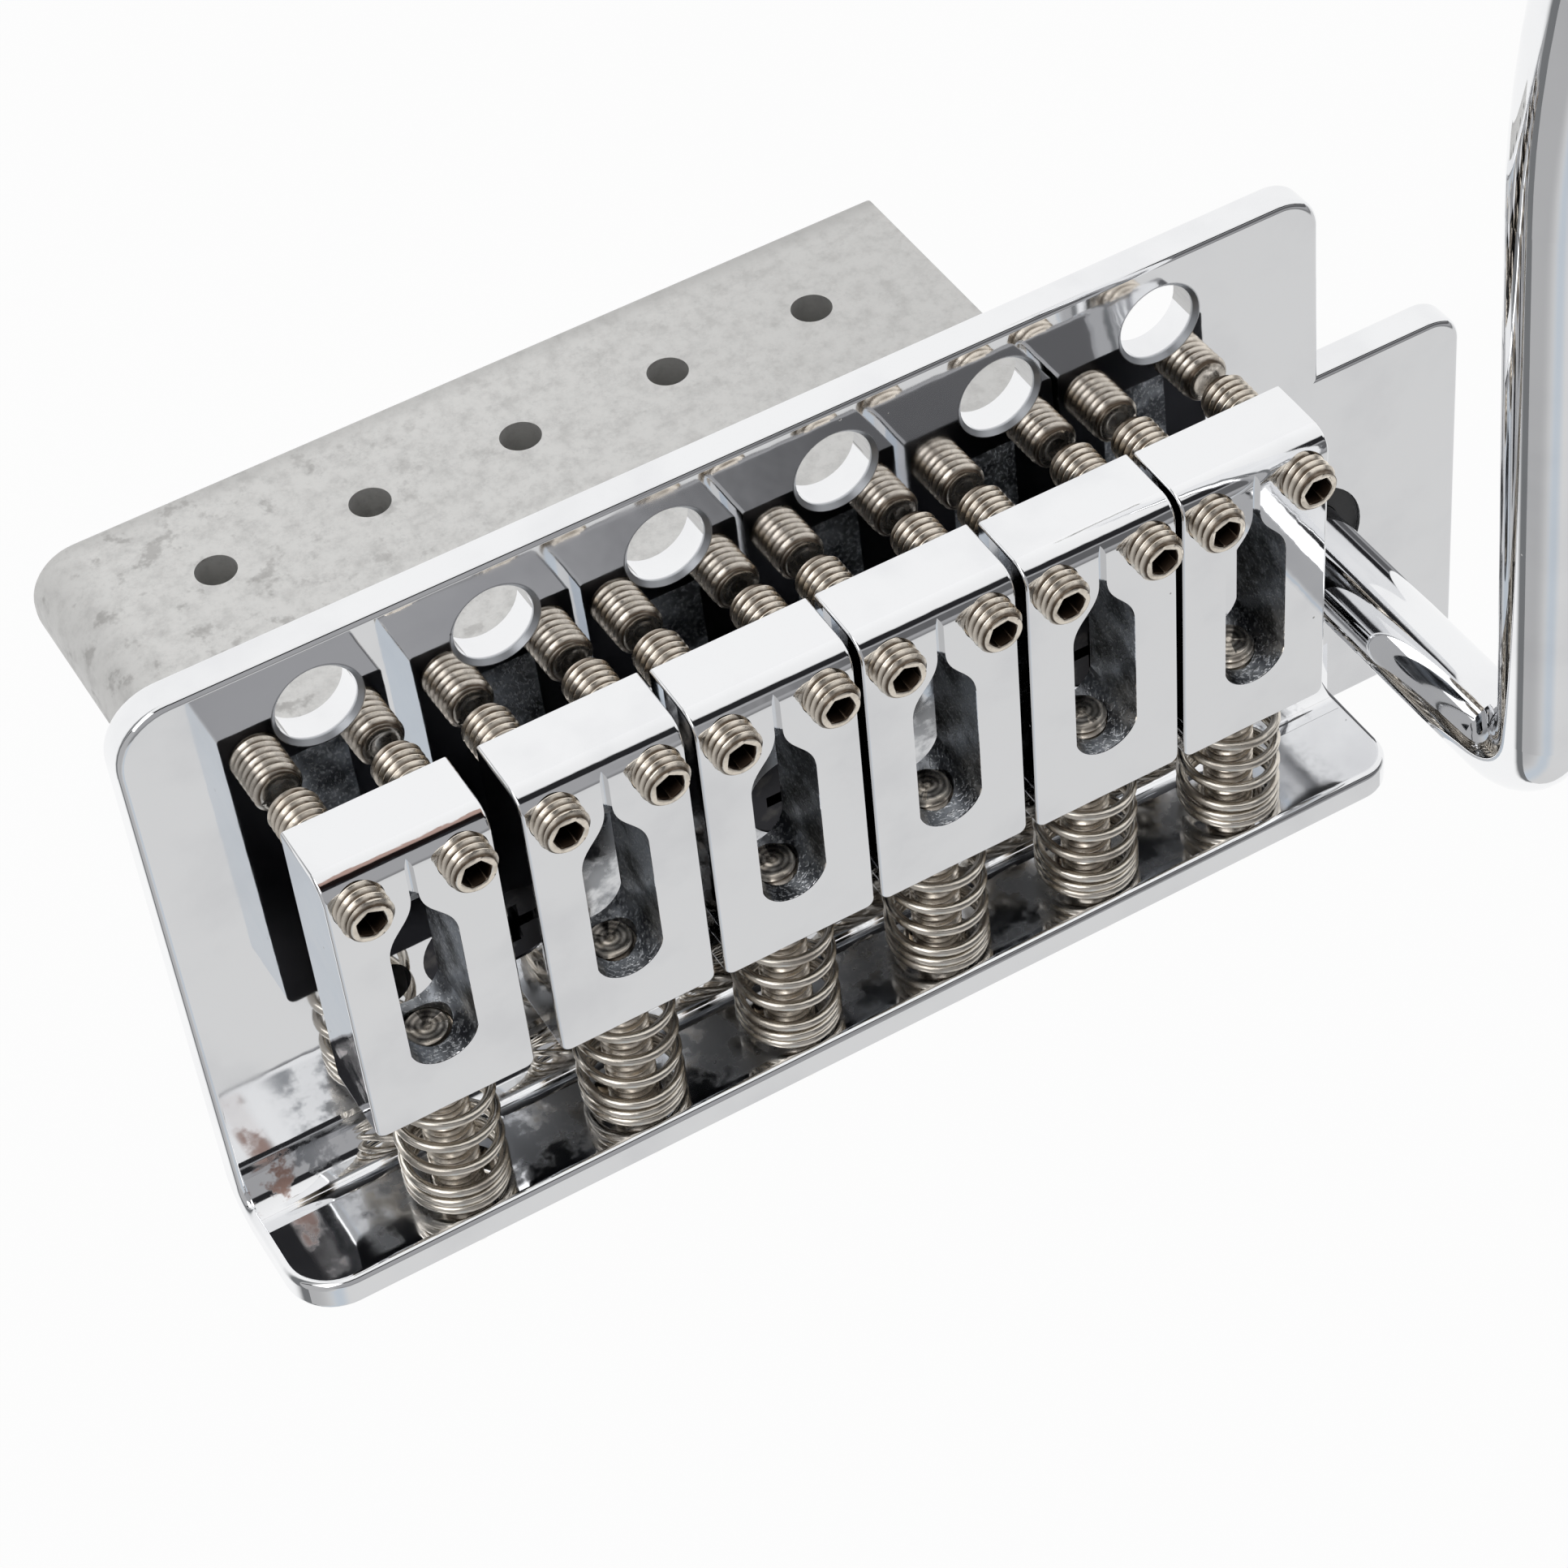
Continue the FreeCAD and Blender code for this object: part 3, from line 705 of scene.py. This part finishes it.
def intonation_screw_mesh():
    bm = bmesh.new()
    seat, tip = screw_seat, screw_seat + screw_length
    add_thread(bm, seat, tip)
    add_loops(bm, [ring(level(thread_radius - thread_chamfer), tip), ring(level(0), tip)])
    face = seat - head_height
    loops = [ring(level(thread_radius - thread_chamfer), seat), ring(level(head_radius), seat)]
    crown = cross_half_span + crown_margin
    for k in range(dome_rings + 1):
        radius = head_radius - (head_radius - crown) * (k / dome_rings) ** 2
        loops.append(ring_on_dome(level(radius), face))
    loops += [
        ring_on_dome(cross_outline(cross_bevel), face),
        ring(cross_outline(0), face + cross_lip),
        ring(cross_outline(-cross_taper), face + cross_depth),
        ring(level(0), face + cross_depth + cross_cone),
    ]
    add_loops(bm, loops)
    return finished_mesh(bm, "intonation_screw", screw_crease)


screw_mesh = intonation_screw_mesh()
tip_start = screw_seat + screw_length - turned_tip
screw_nickel = threaded_nickel("screw_nickel", tip_start, turned_radius, turned_rings)
for n in range(1, saddle_count + 1):
    node = "intonation_screw_" + str(n)
    lip, axis = screw_line(n)
    screw = new_piece("threaded_screw_" + str(n), screw_mesh, screw_nickel)
    set_along(screw, lip, axis, n * screw_turn)
    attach(screw, node)
    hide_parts(node)


# Intonation springs: one length of drawn wire wound round each screw, nickel plated, open at the saddle.
# Each is squeezed between lip and saddle, so its far end goes with the saddle and its near end stays.
spring_radius = 2.85 * mm
wire_radius = 0.3 * mm
spring_start = 1.6462 * mm
longest_reach = 10.565 * mm
close_pitch = 0.66 * mm
close_until = 1.6
open_from = 2.9
spring_turns = 5.75
wire_sides = 14
steps_per_turn = 36
wire_crease = 60
wire_bright = (0.80, 0.75, 0.67, 1)
wire_grain = 0.008 * mm


def opened(turn):
    # Turns counted with the share by which they are open: none at the lip, whole ones at the saddle
    share = min(max((turn - close_until) / (open_from - close_until), 0), 1)
    return (share ** 3 - share ** 4 / 2) * (open_from - close_until) + max(turn - open_from, 0)


def spring_station(turn, reach):
    extra = (reach - spring_start - close_pitch * spring_turns) / opened(spring_turns)
    height = spring_start + close_pitch * turn + extra * opened(turn)
    pitch = close_pitch if turn < open_from else close_pitch + extra
    climb = pitch / (2 * math.pi * spring_radius)
    angle = 2 * math.pi * turn
    outward = Vector((math.cos(angle), 0, math.sin(angle)))
    forward = Vector((-math.sin(angle), climb, math.cos(angle))).normalized()
    return outward * spring_radius + Vector((0, height, 0)), outward, forward


def spring_mesh(n, reach):
    bm = bmesh.new()
    count = round(spring_turns * steps_per_turn)
    rings = []
    for k in range(count + 1):
        spot, outward, forward = spring_station(k / steps_per_turn, reach)
        aside = forward.cross(outward)
        loop = []
        for i in range(wire_sides):
            a = 2 * math.pi * i / wire_sides
            loop.append(bm.verts.new(spot + wire_radius * (outward * math.cos(a) + aside * math.sin(a))))
        rings.append(loop)
    for a, b in zip(rings, rings[1:]):
        for i in range(wire_sides):
            j = (i + 1) % wire_sides
            bm.faces.new((a[i], a[j], b[j], b[i]))
    bm.faces.new(rings[0])
    bm.faces.new(rings[-1])
    return finished_mesh(bm, "spring_wire_" + str(n), wire_crease)


def drawn_nickel():
    material, place = new_finish("drawn_nickel")
    tarnish = place.noise(420, 4.0).rise(0.42, 0.72)
    return shade(material, place, {
        "Base Color": (0.1 + 0.45 * tarnish).mix(wire_bright, nickel_brown),
        "Metallic": 1.0,
        "Roughness": 0.16 + 0.16 * tarnish,
        "Normal": (wire_grain * place.noise(2600, 2.0)).bump(),
    })


wire_nickel = drawn_nickel()
for n in range(1, saddle_count + 1):
    lip, axis = screw_line(n)
    reach = longest_reach - saddle_setback[n - 1]
    spring = new_piece("coil_spring_" + str(n), spring_mesh(n, reach), wire_nickel)
    tipped = Matrix.Rotation(math.atan2(axis.z, axis.y), 4, "X")
    spring.matrix_world = Matrix.Translation(lip) @ tipped
    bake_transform(spring)
    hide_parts("intonation_spring_" + str(n))


# Arm liner and socket: a black plastic ring pressed into the ear, over a turned steel sleeve below it.
# The sleeve shows the fine rings that the lathe tool left.
liner_black = (0.018, 0.018, 0.02, 1)
liner_scuffed = (0.07, 0.068, 0.065, 1)
liner_grain = 0.01 * mm
sleeve_bright = (0.62, 0.615, 0.61, 1)
sleeve_stained = (0.44, 0.43, 0.42, 1)
lathe_rings = 0.01 * mm


def black_plastic():
    material, place = new_finish("black_plastic")
    scuff = place.noise(700, 4.0).rise(0.45, 0.75)
    return shade(material, place, {
        "Base Color": (0.6 * scuff).mix(liner_black, liner_scuffed),
        "Roughness": 0.42 + 0.2 * scuff,
        "Normal": (liner_grain * place.noise(1800, 3.0)).bump(),
    })


def turned_steel():
    material, place = new_finish("turned_steel")
    rings = place.stretched((1, 1, 60)).noise(90, 2.0)
    stain = place.noise(180, 3.0).rise(0.45, 0.75)
    return shade(material, place, {
        "Base Color": stain.mix(sleeve_bright, sleeve_stained),
        "Metallic": 1.0,
        "Roughness": 0.28 + 0.12 * rings,
        "Normal": (lathe_rings * rings).bump(),
    })


wear(nodes["arm_liner"], black_plastic())
wear(nodes["arm_socket"], turned_steel())


# Arm: a steel rod bent cold, polished and chrome plated, pushed into the socket and free to turn.
# Polishing leaves a slight wave in its reflections, flatter than the plate's.
arm_wave = 0.01 * mm
wear(nodes["tremolo_arm"], chrome_plating("arm_chrome", arm_wave))


# Arm tip: white injection-moulded plastic, pressed over the arm's end.
# It has a soft gloss, fine sink marks and a little yellowing.
tip_white = (0.84, 0.83, 0.79, 1)
tip_yellowed = (0.80, 0.775, 0.70, 1)
sink_depth = 0.03 * mm


def white_plastic():
    material, place = new_finish("white_plastic")
    age = place.noise(60, 3.0).rise(0.4, 0.75)
    return shade(material, place, {
        "Base Color": age.mix(tip_white, tip_yellowed),
        "Roughness": 0.26 + 0.08 * place.noise(900, 3.0),
        "Normal": (sink_depth * place.noise(120, 2.0)).bump(),
        "Coat Weight": 0.15,
    })


wear(nodes["arm_tip"], white_plastic())


# Floor: a wide white sweep that the block stands on.
# It is seen as white and keeps part of the soft shadow; the plating mirrors its far bass side as grey.
floor_half = 4.0
floor_gap = 0.05 * mm
white = (1, 1, 1, 1)
paper_white = (0.86, 0.86, 0.86, 1)
far_grey = (0.17, 0.175, 0.18, 1)
far_bass = (-0.20, -0.08)
seen_white = 0.96
floor_z = cad_box[0].z - floor_gap
floor_signs = ((-1, -1), (1, -1), (1, 1), (-1, 1))
floor_corners = [(x * floor_half, y * floor_half, floor_z) for x, y in floor_signs]
floor_mesh = bpy.data.meshes.new("white_sweep")
floor_mesh.from_pydata(floor_corners, [], [(0, 1, 2, 3)])
floor_material, floor_place = new_finish("sweep_white")
mirrored = floor_place.node("ShaderNodeLightPath", {}, {}, "Is Glossy Ray")
seen = floor_place.node("ShaderNodeLightPath", {}, {}, "Is Camera Ray") + mirrored
seen = seen + floor_place.node("ShaderNodeLightPath", {}, {}, "Is Transmission Ray")
white_share = seen_white * floor_place.math("MINIMUM", seen, 1.0)
glow_colour = ((1 - floor_place.part(0).rise(*far_bass)) * mirrored).mix(white, far_grey)
paper = floor_place.node("ShaderNodeBsdfDiffuse", {}, {"Color": paper_white})
glow = floor_place.node("ShaderNodeEmission", {}, {"Color": glow_colour, "Strength": 1.0})
sweep = floor_place.node("ShaderNodeMixShader", {}, {0: white_share, 1: paper, 2: glow})
floor_place.feed(floor_material.node_tree.nodes["Material Output"], {"Surface": sweep})
floor = new_piece("white_sweep", floor_mesh, floor_material)


# Room: a pale wall behind the bridge, bluish and then dim to the bass side, and a bright window in front.
# A dark beam crosses the grey ceiling between them, and a dark curtain rail runs above the window.
# The mirror finish shows these as bands, told apart by the angle over the bridge from rear to front.
ceiling_grey = (0.36, 0.36, 0.37, 1)
wall_bluish = (0.55, 0.60, 0.655, 1)
wall_dim = (0.45, 0.45, 0.455, 1)
beam_dark = (0.12, 0.12, 0.125, 1)
rail_dark = (0.02, 0.02, 0.022, 1)
room_skew = 0.14
room_offset = 0.029
room_bands = (
    (0.00, (0.66, 0.66, 0.66, 1)),
    (0.20, (0.70, 0.70, 0.70, 1)),
    (0.315, (0.67, 0.67, 0.67, 1)),
    (0.345, (0.20, 0.20, 0.205, 1)),
    (0.42, ceiling_grey),
    (0.755, ceiling_grey),
    (0.775, (0.90, 0.90, 0.90, 1)),
    (1.00, white),
)
world = bpy.data.worlds.new("studio_room")
bpy.context.scene.world = world
world.use_nodes = True
room_tree = world.node_tree
look = Socket(room_tree, room_tree.nodes.new("ShaderNodeTexCoord").outputs["Generated"])
side = look.part(0)
half_turns = look.math("ARCTAN2", look.part(2), -1.0 * look.part(1)) * (1 / math.pi)
over = half_turns + room_skew * side - room_offset
room = look.node("ShaderNodeValToRGB", {"stops": room_bands}, {0: over})
bluish = side.band((-0.52, -0.32), (-0.28, -0.05)) * (1 - over.rise(0.31, 0.34))
room = bluish.mix(room, wall_bluish)
room = side.rise(-0.66, -0.34).mix(wall_dim, room)
beam = over.band((0.46, 0.49), (0.63, 0.66)) * side.rise(0.24, 0.34)
room = beam.mix(room, beam_dark)
rail = over.band((0.675, 0.69), (0.757, 0.767))
room = rail.mix(room, rail_dark)
behind = look.node("ShaderNodeLightPath", {}, {}, "Is Camera Ray")
look.feed(room_tree.nodes["Background"], {"Color": behind.mix(room, white), "Strength": 1.0})


# Lamp: one broad soft box from the bass side in front, which models the block and throws the soft shadow.
# Most of the light comes from the room itself.
key_data = bpy.data.lights.new("soft_box", "AREA")
key_data.shape = "SQUARE"
key_data.size = 0.5
key_data.energy = 1.4
key = bpy.data.objects.new("soft_box", key_data)
bpy.context.scene.collection.objects.link(key)
key_spot = Vector((-0.45, 0.55, 0.40))
key.location = key_spot
key.rotation_mode = "QUATERNION"
key.rotation_quaternion = (-key_spot).to_track_quat("-Z", "Y")


# Camera: stands in front of the bridge on the bass side, looking down, and is held upside down.
# Its place, turn and lens were fitted to the holes, screws and edges that are seen from there.
camera_right = Vector((0.86440283, -0.08931945, 0.49480278))
camera_down = Vector((-0.41150431, -0.69114744, 0.59412071))
camera_forward = Vector((0.28891514, -0.71717310, -0.63418514))
camera_spot = Vector((-71.323969, 154.990562, 156.004537)) * mm
camera_data = bpy.data.cameras.new("photo_camera")
camera_data.sensor_width = 36
camera_data.lens = 97.764
camera_data.clip_start = 0.01
camera = bpy.data.objects.new("photo_camera", camera_data)
bpy.context.scene.collection.objects.link(camera)
turned = Matrix((camera_right, -camera_down, -camera_forward)).transposed().to_4x4()
camera.matrix_world = Matrix.Translation(camera_spot) @ turned
bpy.context.scene.camera = camera
bpy.context.scene.view_settings.view_transform = "Standard"
